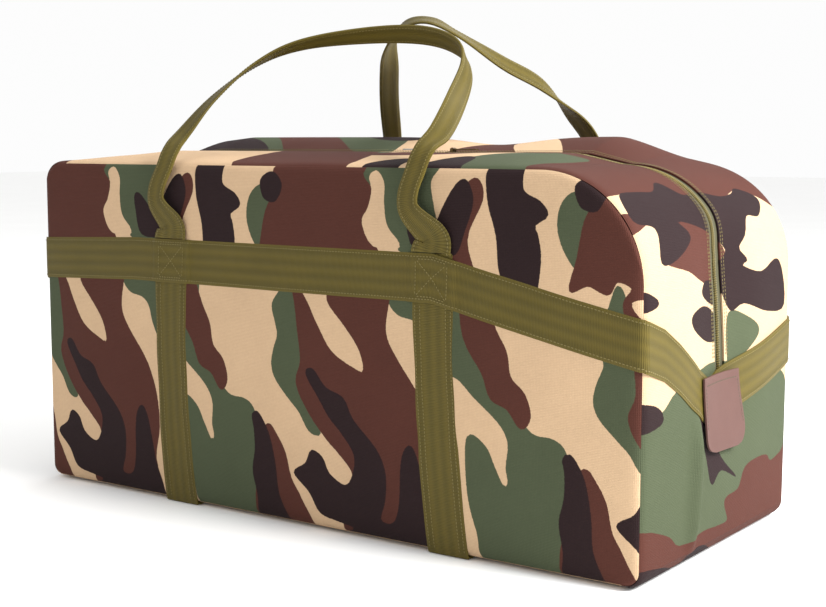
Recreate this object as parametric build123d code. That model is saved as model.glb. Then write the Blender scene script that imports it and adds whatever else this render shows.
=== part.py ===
from build123d import *
import os

# Boxy travel bag of printed cloth: webbing belt and straps outside, two webbing handles,
# and a two-way zip that runs along the top and down both ends.
# Origin: centre of the base on the floor. +X along the bag, -Y the front, +Z up.

# ---- driving dimensions, in millimetres ----
LENGTH = 830.0              # outer length of the cloth body
DEPTH = 360.0               # outer front to back
HEIGHT = 400.0              # floor to the top seams
CLOTH = 2.0                 # body cloth with its coating and seam allowance
CORNER_LEFT = 45.0          # radius of the top corner at the left end
CORNER_RIGHT = 112.0        # radius of the top corner at the right end
CORNER_BASE = 15.0          # radius along the bottom edge of each end
CROWN = 11.0                # how far the zip line stands above the top seams
WEBBING_WIDTH = 50.0
WEBBING = 1.6               # thickness of one layer of webbing
STRAP_X = 183.0             # middle of each upright strap from the middle of the bag
GRIP_WIDTH = 25.0           # webbing folded lengthwise and stitched
GRIP_THICKNESS = 3.4
BELT_LEFT = 280.0           # height of the belt's middle at the left front corner
BELT_STRAPS = 287.0         # the same between the upright straps
BELT_RIGHT = 235.0          # the same at the right front corner
BELT_APEX_LEFT = 205.0      # the same under the left end patch
BELT_APEX_RIGHT = 170.0     # the same under the right end patch
ZIP_GAP = 24.0              # opening between the cloth edges beside the zip
CHAIN_WIDTH = 6.0           # the two rows of coil together
CHAIN_THICKNESS = 2.6
TAPE = 0.9                  # thickness of the zip tape
TAPE_OVERLAP = 4.0          # tape sewn under the cloth edge
OPENING_LEFT = 300.0        # the top folds open from here ...
OPENING_RIGHT = 250.0       # ... to here
SLIDER_LENGTH = 14.0
SLIDER_WIDTH = 10.0
SLIDER_PLATE = 1.4
SLIDER_LEFT_X = 45.0        # middle of the left slider with the zip closed
SLIDER_RIGHT_X = 77.0
PULLER_LENGTH = 34.0
PULLER_WIDTH = 8.0
PULLER_THICKNESS = 1.6
PIN_RADIUS = 0.9
PATCH_WIDTH = 90.0
PATCH_HEIGHT = 84.0
PATCH_RADIUS = 22.0
PATCH = 1.5                 # thickness of the patch cloth
BINDING_WIDTH = 10.0
BINDING = 1.2               # thickness of the bound seam allowance

# ---- clearances ----
MOVE_GAP = 0.3              # between cloth edges that part when the top opens
PIN_GAP = 0.25              # around the puller's pin
COIL_GAP = 0.7              # from the zip's middle line to each row of coil
SLIDER_GAP = 0.4            # between a slider's plates and the coil
HANDLE_GAP = 1.0            # from the belt's top edge to the foot of a handle
HANDLE_STANDOFF = 1.6       # from the cloth to the foot of a handle

# ---- places worked out from them ----
HALF_L = LENGTH / 2
HALF_D = DEPTH / 2
FLOOR_Z = WEBBING                       # the body rests on the straps below it
INNER_D = HALF_D - CLOTH
ZIP_EDGE = ZIP_GAP / 2
TAPE_EDGE = ZIP_EDGE + TAPE_OVERLAP
TAPE_DEPTH = CLOTH + 0.4                # top of the tape below the cloth's outer face
CHAIN_DEPTH = 0.6                       # top of the coil below the cloth's outer face
ARC_LEFT = -HALF_L + CORNER_LEFT        # where the left top corner begins
ARC_RIGHT = HALF_L - CORNER_RIGHT
END_SEAM_Z = FLOOR_Z + CORNER_BASE
ZIP_END_LEFT = BELT_APEX_LEFT - 12.0    # the zip stops under the belt and the patch
ZIP_END_RIGHT = BELT_APEX_RIGHT - 12.0
HALF_WEB = WEBBING_WIDTH / 2
BELT_TOP = BELT_STRAPS + HALF_WEB
ZIP_Z = HEIGHT + CROWN
FOOT_Z = BELT_TOP + HANDLE_GAP           # where a handle's foot begins

parts = {}


def block(x0, x1, y0, y1, z0, z1):
    """A box between two corners."""
    size = Box(x1 - x0, y1 - y0, z1 - z0)
    return Pos((x0 + x1) / 2, (y0 + y1) / 2, (z0 + z1) / 2) * size


def outline(depth):
    """End-to-end outline of the body in the XZ plane, a set depth inside its outer face."""
    face = Pos(0, (FLOOR_Z + HEIGHT) / 2) * Rectangle(LENGTH - 2 * depth, HEIGHT - FLOOR_Z - 2 * depth)
    corners = {(-1, 1): CORNER_LEFT, (1, 1): CORNER_RIGHT, (-1, -1): CORNER_BASE, (1, -1): CORNER_BASE}
    for (side, top), radius in corners.items():
        wanted = [v for v in face.vertices()
                  if v.X * side > HALF_L - depth - 0.1
                  and (v.Y - (FLOOR_Z + HEIGHT) / 2) * top > (HEIGHT - FLOOR_Z) / 2 - depth - 0.1]
        face = fillet(wanted, radius - depth)
    return face


def across(face, y0, y1):
    """A face drawn in X and Z, thickened from y0 to y1."""
    return Pos(0, y1, 0) * (Rot(90, 0, 0) * extrude(face, y1 - y0))


def wall(y0, y1, depth0, depth1, *regions):
    """A strip of the wall between two depths and two Y planes, kept inside the regions."""
    ring = across(outline(depth0) - outline(depth1), y0, y1)
    pieces = [ring & region for region in regions]
    return pieces[0].fuse(*pieces[1:]) if len(pieces) > 1 else pieces[0]


def crown(x):
    """How far the zip line stands above the top seams at x."""
    if x < -OPENING_LEFT:
        return CROWN * max(0.0, (x - ARC_LEFT) / (-OPENING_LEFT - ARC_LEFT))
    if x > OPENING_RIGHT:
        return CROWN * max(0.0, (ARC_RIGHT - x) / (ARC_RIGHT - OPENING_RIGHT))
    return CROWN


def top_height(x, y):
    """Height of the cloth's outer face on the top."""
    slope = (INNER_D - abs(y)) / (INNER_D - ZIP_EDGE)
    return HEIGHT + crown(x) * min(1.0, max(0.0, slope))


def top_strip(x0, x1, y0, y1, depth0, depth1):
    """A lengthwise strip of the top between two depths, straight from x0 to x1."""
    faces = []
    for x in (x0, x1):
        points = [(x, y0, top_height(x, y0) - depth0), (x, y1, top_height(x, y1) - depth0),
                  (x, y1, top_height(x, y1) - depth1), (x, y0, top_height(x, y0) - depth1)]
        faces.append(make_face(Polyline(*points, close=True).edges()))
    return Solid.make_loft([f.wire() for f in faces], ruled=True)


def end_region(side, z0):
    """Everything above z0 beyond the place where a top corner begins."""
    start = ARC_LEFT if side < 0 else ARC_RIGHT
    far = side * (HALF_L + 10)
    return block(min(start, far), max(start, far), -DEPTH, DEPTH, z0, HEIGHT + 10)


# ---- cloth body ----
low = block(-LENGTH, LENGTH, -DEPTH, DEPTH, -10, END_SEAM_Z)
parts["base_panel"] = wall(-INNER_D, INNER_D, 0, CLOTH, low)
for name, y0, y1 in (("front", -HALF_D, -INNER_D), ("back", INNER_D, HALF_D)):
    parts[f"{name}_panel"] = across(outline(0), y0, y1)
for name, side, top in (("left", -1, ZIP_END_LEFT), ("right", 1, ZIP_END_RIGHT)):
    region = block(min(0, side * LENGTH), max(0, side * LENGTH), -DEPTH, DEPTH, END_SEAM_Z, top)
    parts[f"end_panel_{name}"] = wall(-INNER_D, INNER_D, 0, CLOTH, region)

# ---- top and zip: each half is a fixed strip at both ends and a middle that folds in ----
# name, nearest and furthest distance from the zip line, depth of its two faces
STRIPS = (("gusset", ZIP_EDGE, INNER_D, 0.0, CLOTH),
          ("zip_tape", CHAIN_WIDTH / 2 + MOVE_GAP, TAPE_EDGE, TAPE_DEPTH, TAPE_DEPTH + TAPE),
          ("zip_coil", COIL_GAP, CHAIN_WIDTH / 2, CHAIN_DEPTH, CHAIN_DEPTH + CHAIN_THICKNESS))
ENDS = (("left", -1, -OPENING_LEFT, ARC_LEFT, ZIP_END_LEFT),
        ("right", 1, OPENING_RIGHT, ARC_RIGHT, ZIP_END_RIGHT))
for strip, near, far, depth0, depth1 in STRIPS:
    for half, way in (("front", -1), ("back", 1)):
        y0, y1 = sorted((way * near, way * far))
        for end, side, edge, arc, bottom in ENDS:
            round_part = wall(y0, y1, depth0, depth1, end_region(side, bottom))
            x0, x1 = sorted((edge, arc))
            parts[f"{strip}_{half}_{end}"] = round_part.fuse(top_strip(x0, x1, y0, y1, depth0, depth1))
        outer = far - (MOVE_GAP if strip == "gusset" else 0.0)
        y0, y1 = sorted((way * near, way * outer))
        parts[f"{strip}_{half}_middle"] = top_strip(-OPENING_LEFT + MOVE_GAP, OPENING_RIGHT - MOVE_GAP,
                                                    y0, y1, depth0, depth1)
for end, side, top in (("left", -1, ZIP_END_LEFT), ("right", 1, ZIP_END_RIGHT)):
    stop_face = HALF_L - CLOTH - MOVE_GAP
    x0, x1 = sorted((side * stop_face, side * (stop_face - CHAIN_THICKNESS)))
    parts[f"zip_stop_{end}"] = block(x0, x1, -CHAIN_WIDTH / 2, CHAIN_WIDTH / 2, top - 7.0, top - MOVE_GAP)

# ---- sliders and pullers ----
COIL_TOP = ZIP_Z - CHAIN_DEPTH
COIL_BOTTOM = COIL_TOP - CHAIN_THICKNESS
PLATE_TOP = COIL_TOP + SLIDER_GAP + SLIDER_PLATE
PIN_Z = PLATE_TOP + PIN_RADIUS + PULLER_THICKNESS
EYE_OUTER = PIN_RADIUS + PIN_GAP + 1.1
EYE_HALF = 2.4
CHEEK = 1.2
POST_HALF = COIL_GAP - 0.2
for name, side, x in (("left", -1, SLIDER_LEFT_X), ("right", 1, SLIDER_RIGHT_X)):
    x0, x1 = x - SLIDER_LENGTH / 2, x + SLIDER_LENGTH / 2
    half = SLIDER_WIDTH / 2
    body = block(x0, x1, -half, half, PLATE_TOP - SLIDER_PLATE, PLATE_TOP)
    body = body.fuse(block(x0, x1, -half, half, COIL_BOTTOM - SLIDER_GAP - SLIDER_PLATE,
                           COIL_BOTTOM - SLIDER_GAP))
    nose = sorted((x - side * SLIDER_LENGTH / 2, x - side * (SLIDER_LENGTH / 2 - 4.0)))
    body = body.fuse(block(*nose, -POST_HALF, POST_HALF, COIL_BOTTOM - SLIDER_GAP, COIL_TOP + SLIDER_GAP))
    body = fillet(body.edges().filter_by(Axis.Z).filter_by(lambda e: abs(e.center().Y) > half - 0.1), 1.6)
    pin_x = x + side * 2.0
    for way in (-1, 1):
        inner, outer = sorted((way * (EYE_HALF + PIN_GAP), way * (EYE_HALF + PIN_GAP + CHEEK)))
        body = body.fuse(block(pin_x - 2.0, pin_x + 2.0, inner, outer, PLATE_TOP, PIN_Z + PIN_RADIUS + 0.5))
    pin = Pos(pin_x, 0, PIN_Z) * (Rot(90, 0, 0) * Cylinder(PIN_RADIUS, 2 * (EYE_HALF + PIN_GAP + CHEEK / 2)))
    parts[f"slider_{name}"] = body.fuse(pin)

    x0, x1 = sorted((side * 5.0, side * PULLER_LENGTH))
    tab = block(x0, x1, -PULLER_WIDTH / 2, PULLER_WIDTH / 2, -PULLER_THICKNESS / 2, PULLER_THICKNESS / 2)
    tip = tab.edges().filter_by(Axis.Z).filter_by(lambda e: abs(e.center().X) > PULLER_LENGTH - 0.1)
    tab = fillet(tip, 3.0)
    neck = block(min(side * 1.5, side * 6.0), max(side * 1.5, side * 6.0), -EYE_HALF, EYE_HALF,
                 -PULLER_THICKNESS / 2, PULLER_THICKNESS / 2)
    eye = Rot(90, 0, 0) * Cylinder(EYE_OUTER, 2 * EYE_HALF)
    puller = tab.fuse(neck, eye) - Rot(90, 0, 0) * Cylinder(PIN_RADIUS + PIN_GAP, 4 * EYE_HALF)
    slot = Pos(side * (PULLER_LENGTH - 9.0), 0, 0) * extrude(SlotOverall(10.0, 3.6), 5.0, both=True)
    parts[f"puller_{name}"] = Pos(pin_x, 0, PIN_Z) * (puller - slot)

# ---- belt round the bag, dipping to a point at each end ----
FRONT_BELT = ((-HALF_L, BELT_LEFT), (-STRAP_X - 60, BELT_STRAPS),
              (STRAP_X, BELT_STRAPS), (HALF_L, BELT_RIGHT))


def band(points, half):
    """A flat band of the given half width along a line drawn in the plane's own axes."""
    upper = [(a, b + half) for a, b in points]
    lower = [(a, b - half) for a, b in reversed(points)]
    return make_face(Polyline(*upper, *lower, close=True).edges())


belt_sides = []
for way in (-1, 1):
    ends = [(-HALF_L - WEBBING, BELT_LEFT), *FRONT_BELT[1:3], (HALF_L + WEBBING, BELT_RIGHT)]
    y0, y1 = sorted((way * HALF_D, way * (HALF_D + WEBBING)))
    belt_sides.append(across(band(ends, HALF_WEB), y0, y1))
    for side in (-1, 1):
        x0, x1 = side * STRAP_X - HALF_WEB, side * STRAP_X + HALF_WEB
        z0, z1 = BELT_STRAPS - HALF_WEB, BELT_STRAPS + HALF_WEB
        lift = sorted((way * HALF_D, way * (HALF_D + 2 * WEBBING)))
        bridge = block(x0 - WEBBING, x1 + WEBBING, *lift, z0, z1)
        if side > 0:
            z0 -= 1.0 + HALF_WEB * (BELT_STRAPS - BELT_RIGHT) / (HALF_L - STRAP_X)
        pocket = block(x0, x1, y0, y1, z0 - HALF_WEB, z1 + 1.0)
        belt_sides[-1] = belt_sides[-1].fuse(bridge) - pocket
for side, corner, apex in ((-1, BELT_LEFT, BELT_APEX_LEFT), (1, BELT_RIGHT, BELT_APEX_RIGHT)):
    face = band([(-HALF_D, corner), (0, apex), (HALF_D, corner)], HALF_WEB)
    x0 = HALF_L if side > 0 else -HALF_L - WEBBING
    belt_sides.append(Pos(x0, 0, 0) * (Plane.YZ * extrude(face, WEBBING)))
parts["belt"] = belt_sides[0].fuse(*belt_sides[1:])

# ---- upright straps and the runs under the base that they rest on ----
for end, side in (("left", -1), ("right", 1)):
    x0, x1 = side * STRAP_X - HALF_WEB, side * STRAP_X + HALF_WEB
    parts[f"base_strap_{end}"] = block(x0, x1, -HALF_D - WEBBING, HALF_D + WEBBING, 0, WEBBING)
    for half, way in (("front", -1), ("back", 1)):
        y0, y1 = sorted((way * HALF_D, way * (HALF_D + WEBBING)))
        parts[f"strap_{half}_{end}"] = block(x0, x1, y0, y1, WEBBING, BELT_TOP)

# ---- end patches over the zip's ends ----
for end, side, apex in (("left", -1, BELT_APEX_LEFT), ("right", 1, BELT_APEX_RIGHT)):
    face = Pos(0, apex + HALF_WEB - 5.0 - PATCH_HEIGHT / 2) * Rectangle(PATCH_WIDTH, PATCH_HEIGHT)
    face = fillet(face.vertices().sort_by(Axis.Y)[:2], PATCH_RADIUS)
    x0 = HALF_L + WEBBING if side > 0 else -HALF_L - WEBBING - PATCH
    parts[f"end_patch_{end}"] = Pos(x0, 0, 0) * (Plane.YZ * extrude(face, PATCH))

# ---- bound seam allowances inside, along the base and up both ends ----
allowance = outline(CLOTH) - outline(CLOTH + BINDING_WIDTH)
below_belt = block(-LENGTH, LENGTH, -DEPTH, DEPTH, 0, BELT_APEX_RIGHT)
for half, way in (("front", -1), ("back", 1)):
    y0, y1 = sorted((way * INNER_D, way * (INNER_D - BINDING)))
    parts[f"seam_binding_{half}"] = across(allowance, y0, y1) & below_belt

# ---- handles: flat at the feet, folded and stitched between them, turning as they rise ----
# Each station: share of the strap spacing along X, share of the way in to the middle,
# height above the top seams, and the direction across the webbing.
HANDLE_FRONT = (
    (-1.10, -0.04, -42, (1.00, 0.00, -0.10)), (-1.06, -0.03, -5, (1.00, 0.00, -0.10)),
    (-1.05, 0.01, 17, (0.99, 0.00, -0.14)), (-1.04, 0.12, 36, (0.96, -0.20, -0.20)),
    (-0.92, 0.26, 74, (0.77, -0.60, -0.22)), (-0.70, 0.41, 112, (0.50, -0.86, 0.00)),
    (-0.42, 0.53, 134, (0.25, -0.91, 0.32)), (0.01, 0.66, 143, (0.14, -0.75, 0.64)),
    (0.40, 0.72, 141, (0.15, -0.58, 0.80)), (0.66, 0.70, 126, (0.25, -0.62, 0.74)),
    (0.79, 0.60, 102, (0.00, -0.82, 0.58)), (0.85, 0.40, 67, (-0.50, -0.68, 0.50)),
    (0.89, 0.18, 34, (-0.80, -0.40, 0.40)), (0.90, 0.01, 17, (-0.98, -0.05, 0.15)),
    (0.88, -0.03, -5, (-1.00, 0.00, 0.10)), (0.86, -0.04, -42, (-1.00, 0.00, 0.00)))
HANDLE_BACK = (
    (-0.90, -0.04, -42, (1.00, 0.00, 0.00)), (-0.80, -0.03, -5, (1.00, 0.00, 0.10)),
    (-0.73, 0.05, 24, (0.95, 0.25, 0.06)), (-0.51, 0.39, 73, (0.75, 0.63, 0.18)),
    (-0.30, 0.68, 109, (0.66, 0.69, 0.30)), (-0.13, 0.90, 137, (0.20, 0.75, 0.62)),
    (0.04, 0.99, 158, (-0.10, 0.80, 0.58)), (0.24, 0.99, 162, (-0.20, 0.93, 0.30)),
    (0.40, 0.90, 146, (-0.56, 0.77, 0.31)), (0.56, 0.62, 115, (-0.40, 0.64, 0.65)),
    (0.72, 0.38, 89, (-0.45, 0.66, 0.60)), (0.83, 0.12, 49, (-0.85, 0.38, -0.30)),
    (0.88, 0.01, 24, (-0.98, 0.10, -0.10)), (0.91, -0.03, -5, (-1.00, 0.00, 0.00)),
    (0.93, -0.04, -42, (-1.00, 0.00, 0.00)))
FOOT_Y = HALF_D + HANDLE_STANDOFF + GRIP_THICKNESS / 2
FOOT_FLAT = 16.0            # the foot stays flat and wide for this height


def handle(stations, way):
    """Loft the handle's section through its two feet and the stations between them."""
    feet = []
    for side in (-1, 1):
        low_foot = (Vector(side * STRAP_X, way * FOOT_Y, FOOT_Z), Vector(-side, 0, 0), WEBBING_WIDTH)
        high_foot = (low_foot[0] + Vector(0, 0, FOOT_FLAT), Vector(-side, 0, 0), WEBBING_WIDTH * 0.8)
        feet.append([low_foot, high_foot])
    middle = [(Vector(fx * STRAP_X, way * (HALF_D * (1 - fy) + (FOOT_Y - HALF_D if fy < 0 else 0)),
                      HEIGHT + dz), Vector(*turn), GRIP_WIDTH) for fx, fy, dz, turn in stations]
    line = feet[0] + middle + feet[1][::-1]
    wires = []
    for i, (place, turn, width) in enumerate(line):
        tangent = line[min(i + 1, len(line) - 1)][0] - line[max(i - 1, 0)][0]
        if i in (0, len(line) - 1):
            tangent = Vector(0, 0, 1 if i == 0 else -1)
        plane = Plane(place, x_dir=turn - tangent * (turn.dot(tangent) / tangent.dot(tangent)), z_dir=tangent)
        wires.append((plane * Rectangle(width, GRIP_THICKNESS)).wire())
    return Solid.make_loft(wires, ruled=True)


parts["handle_front"] = handle(HANDLE_FRONT, -1)
parts["handle_back"] = handle(HANDLE_BACK, 1)

os.makedirs("parts", exist_ok=True)
for name, solid in parts.items():
    export_step(solid, f"parts/{name}.step")
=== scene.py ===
import math

import bpy
import numpy as np
from bpy.props import FloatProperty, StringProperty, PointerProperty
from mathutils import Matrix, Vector


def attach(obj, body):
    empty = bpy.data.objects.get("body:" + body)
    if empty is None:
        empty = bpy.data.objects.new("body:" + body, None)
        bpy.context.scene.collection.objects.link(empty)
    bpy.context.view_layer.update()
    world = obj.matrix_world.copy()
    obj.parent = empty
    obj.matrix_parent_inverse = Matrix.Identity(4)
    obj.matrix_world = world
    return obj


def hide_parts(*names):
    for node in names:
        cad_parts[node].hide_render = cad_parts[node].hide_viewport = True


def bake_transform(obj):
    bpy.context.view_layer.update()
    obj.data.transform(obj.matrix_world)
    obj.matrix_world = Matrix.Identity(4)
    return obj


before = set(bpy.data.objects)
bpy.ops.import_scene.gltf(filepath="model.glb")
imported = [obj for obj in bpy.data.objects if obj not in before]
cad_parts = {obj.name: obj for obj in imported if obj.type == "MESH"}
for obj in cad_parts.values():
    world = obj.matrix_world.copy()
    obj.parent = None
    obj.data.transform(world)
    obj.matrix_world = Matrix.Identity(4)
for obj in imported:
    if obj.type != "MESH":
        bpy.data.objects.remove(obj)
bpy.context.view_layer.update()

bl_info = {
    "name": "Camouflage Travel Bag",
    "version": (1, 0, 0),
    "blender": (4, 5, 0),
    "location": "View3D > Sidebar > Travel Bag",
    "description": "Printed cloth, webbing, zip and handles around the packed frame of a travel bag",
    "category": "Add Mesh",
}

# ---- sizes in metres, in the frame's own axes ----
HALF_L, HALF_D, HEIGHT, FLOOR_Z = 0.415, 0.180, 0.400, 0.0016
R_LEFT, R_RIGHT, R_BASE = 0.026, 0.112, 0.015
CROWN = 0.011
OPEN_LEFT, OPEN_RIGHT, MIDDLE_X = -0.300, 0.250, -0.025
FOLD_LEFT, FOLD_RIGHT = -0.262, 0.220        # the cloth starts to fold here, past the open sliders
FULL_LEFT, FULL_RIGHT = -0.055, 0.020        # the top folds fully between these
ZIP_EDGE, SEAM_Y = 0.012, 0.1785
SEAM_DIP, SEAM_ROLL = 0.0030, 0.0034         # how deep and how wide the cloth rolls into a seam
STRAP_X, BELT_TOP = 0.183, 0.312
STRAP_LEAN = 0.014                           # the right strap's foot stands this far along
# the belt's middle line: along the front and back in x and z, across the ends in y and z
BELT_FRONT = ((-0.415, 0.280), (-0.243, 0.287), (0.183, 0.287), (0.415, 0.235))
BELT_BACK = ((-0.415, 0.280), (-0.243, 0.287), (0.183, 0.287), (0.415, 0.203))
BELT_LEFT = ((-0.180, 0.280), (0.000, 0.205), (0.180, 0.280))
BELT_RIGHT = ((-0.180, 0.235), (-0.145, 0.223), (-0.115, 0.206), (-0.067, 0.174), (-0.035, 0.160),
              (-0.010, 0.166), (0.180, 0.203))
APEX_LEFT, APEX_RIGHT = 0.205, 0.170
HINGE_Z, HINGE_FAR = 0.313, 0.345
REPEAT = 396.0                               # length of the cloth's printed repeat, in millimetres
PATCH_W, PATCH_H, PATCH_R = 0.088, 0.077, 0.022
PATCH_Y = -0.020                             # the patches sit a little towards the front

# ---- the print: outlines in millimetres, along and up, joined by smooth curves ----
FRONT_PRINT = {
    "green": (
        ((14, 290), (5, 265), (-6, 248), (0, 228), (3, 214), (-3, 198), (-7, 181), (-2, 165), (17, 145),
         (30, 132), (42, 112), (56, 110), (45, 130), (28, 164), (35, 190), (29, 222), (24, 265),
         (21, 278)),
        ((150, 292), (150, 265), (163, 250), (185, 245), (197, 234), (202, 215), (213, 196), (238, 190),
         (258, 173), (287, 150), (298, 129), (295, 103), (297, 88), (290, 80), (279, 100), (269, 121),
         (251, 130), (247, 98), (249, 62), (257, 30), (270, -5), (362, -5), (358, 25), (355, 54),
         (364, 92), (358, 125), (345, 136), (321, 140), (300, 170), (275, 240), (262, 292)),
        ((98, 405), (108, 391), (117, 383), (135, 390), (141, 370), (147, 342), (163, 326), (166, 315),
         (215, 315), (205, 345), (194, 385), (196, 405)),
        ((363, 378), (350, 366), (348, 343), (358, 319), (372, 306), (375, 335), (385, 362), (380, 374)),
    ),
    "brown": (
        ((-7, 405), (-11, 372), (-21, 350), (-27, 315), (-34, 285), (-16, 292), (4, 284), (13, 297),
         (30, 290), (21, 274), (29, 240), (35, 190), (28, 164), (45, 130), (67, 105), (82, 92),
         (101, 69), (90, 40), (90, -5), (195, -5), (193, 47), (203, 87), (201, 125), (189, 163),
         (161, 200), (146, 230), (150, 275), (140, 300), (128, 322), (112, 343), (124, 371), (108, 390),
         (98, 405)),
        ((-24, 101), (-16, 111), (-7, 100), (4, 80), (10, 52), (22, 30), (33, -5), (-40, -5), (-35, 60)),
        ((237, 275), (245, 232), (268, 198), (278, 173), (297, 164), (311, 146), (320, 158), (314, 179),
         (298, 195), (293, 220), (279, 243), (262, 280), (243, 328), (259, 370), (252, 389), (240, 382),
         (225, 350), (225, 300)),
    ),
    "cream": (
        ((28, 277), (45, 251), (59, 228), (77, 203), (108, 187), (119, 185), (113, 208), (92, 233),
         (70, 256), (66, 277)),
        ((117, 391), (126, 397), (138, 384), (140, 358), (147, 338), (164, 318), (128, 318), (112, 343),
         (119, 358), (122, 377)),
    ),
    "black": (
        ((42, 180), (52, 180), (68, 162), (91, 153), (104, 131), (133, 102), (144, 76), (141, 46),
         (133, 23), (150, 22), (160, 46), (166, 95), (177, 111), (187, 92), (193, 46), (195, -5),
         (84, -5), (96, 7), (73, 12), (49, 18), (36, 40), (16, 60), (34, 73), (43, 89), (58, 83),
         (67, 65), (88, 55), (100, 70), (103, 92), (88, 113), (70, 130), (57, 150), (42, 172)),
        ((-40, 120), (-31, 124), (-18, 102), (-11, 66), (-9, 30), (2, -5), (-40, -5), (-41, 25),
         (-45, 54), (-39, 80), (-38, 104)),
        ((240, 388), (249, 367), (240, 335), (232, 315), (215, 312), (200, 322), (212, 358), (228, 385)),
        ((166, 365), (175, 365), (190, 352), (204, 339), (214, 318), (181, 318), (169, 347)),
        ((265, 405), (266, 370), (278, 334), (284, 296), (300, 281), (322, 274), (329, 312), (325, 336),
         (321, 346), (335, 356), (326, 369), (306, 380), (301, 405)),
        ((363, 386), (379, 394), (394, 380), (387, 362), (373, 363), (366, 371)),
    ),
}
END_PRINT = {
    "green": (
        ((-190, 165), (-148, 170), (-120, 187), (-60, 200), (0, 200), (60, 190), (120, 178), (163, 166),
         (190, 120), (180, 80), (127, 73), (100, 87), (47, 80), (33, 60), (0, 60), (13, 33), (-20, 30),
         (-103, 30), (-133, 47), (-190, 53)),
        ((23, 248), (57, 242), (82, 228), (67, 215), (33, 200), (20, 200)),
        ((-195, 470), (-100, 470), (-45, 482), (-60, 560), (-195, 560)),
    ),
    "brown": (
        ((-190, 482), (-100, 476), (-48, 488), (-48, 565), (190, 565), (190, 372), (147, 377),
         (110, 388), (53, 377), (7, 386), (-30, 383), (-57, 404), (-103, 383), (-147, 391), (-190, 400)),
        ((-90, 350), (-30, 348), (12, 325), (20, 306), (-12, 284), (-53, 292), (-85, 303), (-134, 314),
         (-87, 323)),
        ((-190, 345), (-143, 357), (-165, 362), (-190, 366)),
        ((-190, 55), (-133, 47), (-103, 30), (-47, 33), (-15, 31), (13, 33), (0, 57), (33, 62), (47, 82),
         (80, 86), (113, 83), (127, 74), (160, 78), (190, 84), (190, -22), (-190, -22)),
    ),
    "cream": (),
    "black": (
        ((-160, 388), (-123, 391), (-87, 390), (-57, 404), (-30, 383), (7, 386), (53, 377), (87, 380),
         (110, 387), (147, 372), (120, 350), (87, 351), (67, 330), (50, 317), (65, 303), (52, 298),
         (93, 288), (143, 298), (160, 247), (107, 245), (53, 258), (27, 252), (8, 280), (4, 300),
         (24, 318), (-17, 340), (-83, 353), (-64, 335), (-107, 316), (-145, 313), (-136, 347),
         (-170, 357)),
        ((-48, 277), (-33, 287), (-8, 282), (-5, 262), (-30, 267)),
        ((-82, 257), (-47, 263), (-13, 253), (0, 227), (-37, 227), (-77, 243)),
        ((-190, 290), (-158, 280), (-160, 273), (-190, 270)),
        ((-98, 193), (-80, 177), (-50, 147), (-20, 107), (24, 78), (-17, 93), (-37, 81), (-52, 107),
         (-70, 150), (-90, 173)),
        ((-195, 182), (-163, 180), (-147, 170), (-152, 160), (-195, 156)),
        ((-190, 20), (-140, 18), (-98, 8), (-62, 20), (-30, 14), (0, -8), (-40, -20), (-190, -20)),
    ),
}
TOP_PRINT = {
    "green": (
        ((-300, 190), (-180, 190), (-60, 110), (-20, 20), (-60, -60), (-160, -40), (-250, 10),
         (-310, 90)),
        ((-20, -190), (40, -110), (30, -60), (-40, -90), (-90, -190)),
        ((205, -195), (190, -130), (225, -75), (285, -60), (285, -195)),
    ),
    "brown": (
        ((-280, 190), (-190, 110), (-90, 20), (10, -50), (60, -190), (-90, -190), (-120, -70),
         (-230, 60), (-330, 150)),
        ((70, 195), (90, 100), (60, 10), (40, -105), (100, -92), (190, -72), (285, -52), (285, 195)),
        ((-430, -195), (-378, -195), (-385, -95), (-340, -60), (-345, 20), (-384, 60), (-386, 110),
         (-378, 195), (-430, 195)),
    ),
    "cream": (
        ((138, 105), (180, 66), (226, -8), (222, -44), (190, -26), (130, 50)),
    ),
    "black": (
        ((-365, 90), (-290, 70), (-210, 10), (-180, -60), (-240, -50), (-320, -10), (-380, 30)),
        ((86, -195), (92, -150), (108, -130), (126, -148), (128, -195)),
        ((160, -195), (158, -145), (178, -122), (200, -140), (205, -195)),
        ((-120, 150), (-40, 110), (-10, 60), (-70, 60), (-130, 110)),
    ),
}

HALVES = (("front", -1), ("back", 1))
ENDS = (("left", -1), ("right", 1))
FOLDS = (("left", -1, FOLD_LEFT, FULL_LEFT), ("right", 1, FOLD_RIGHT, FULL_RIGHT))
STITCH_MARGIN = 0.0035                       # from a webbing's edge to its row of stitches

# stations: along in strap places, depth in half depths, height over the top in millimetres, and the
# direction across the webbing
HANDLE_FRONT = (
    (-1.10, -0.04, -42, (1.00, 0.00, -0.10)), (-1.06, -0.03, -5, (1.00, 0.00, -0.10)),
    (-1.05, 0.01, 17, (0.99, 0.00, -0.14)), (-1.04, 0.12, 36, (0.96, -0.20, -0.20)),
    (-0.92, 0.26, 74, (0.77, -0.60, -0.22)), (-0.70, 0.41, 112, (0.50, -0.86, 0.00)),
    (-0.42, 0.53, 134, (0.25, -0.91, 0.32)), (0.01, 0.66, 143, (0.14, -0.75, 0.64)),
    (0.40, 0.72, 141, (0.15, -0.58, 0.80)), (0.66, 0.70, 126, (0.25, -0.62, 0.74)),
    (0.79, 0.60, 102, (0.00, -0.82, 0.58)), (0.85, 0.40, 67, (-0.50, -0.68, 0.50)),
    (0.89, 0.18, 34, (-0.80, -0.40, 0.40)), (0.90, 0.01, 17, (-0.98, -0.05, 0.15)),
    (0.88, -0.03, -5, (-1.00, 0.00, 0.10)), (0.86, -0.04, -42, (-1.00, 0.00, 0.00)))
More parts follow.
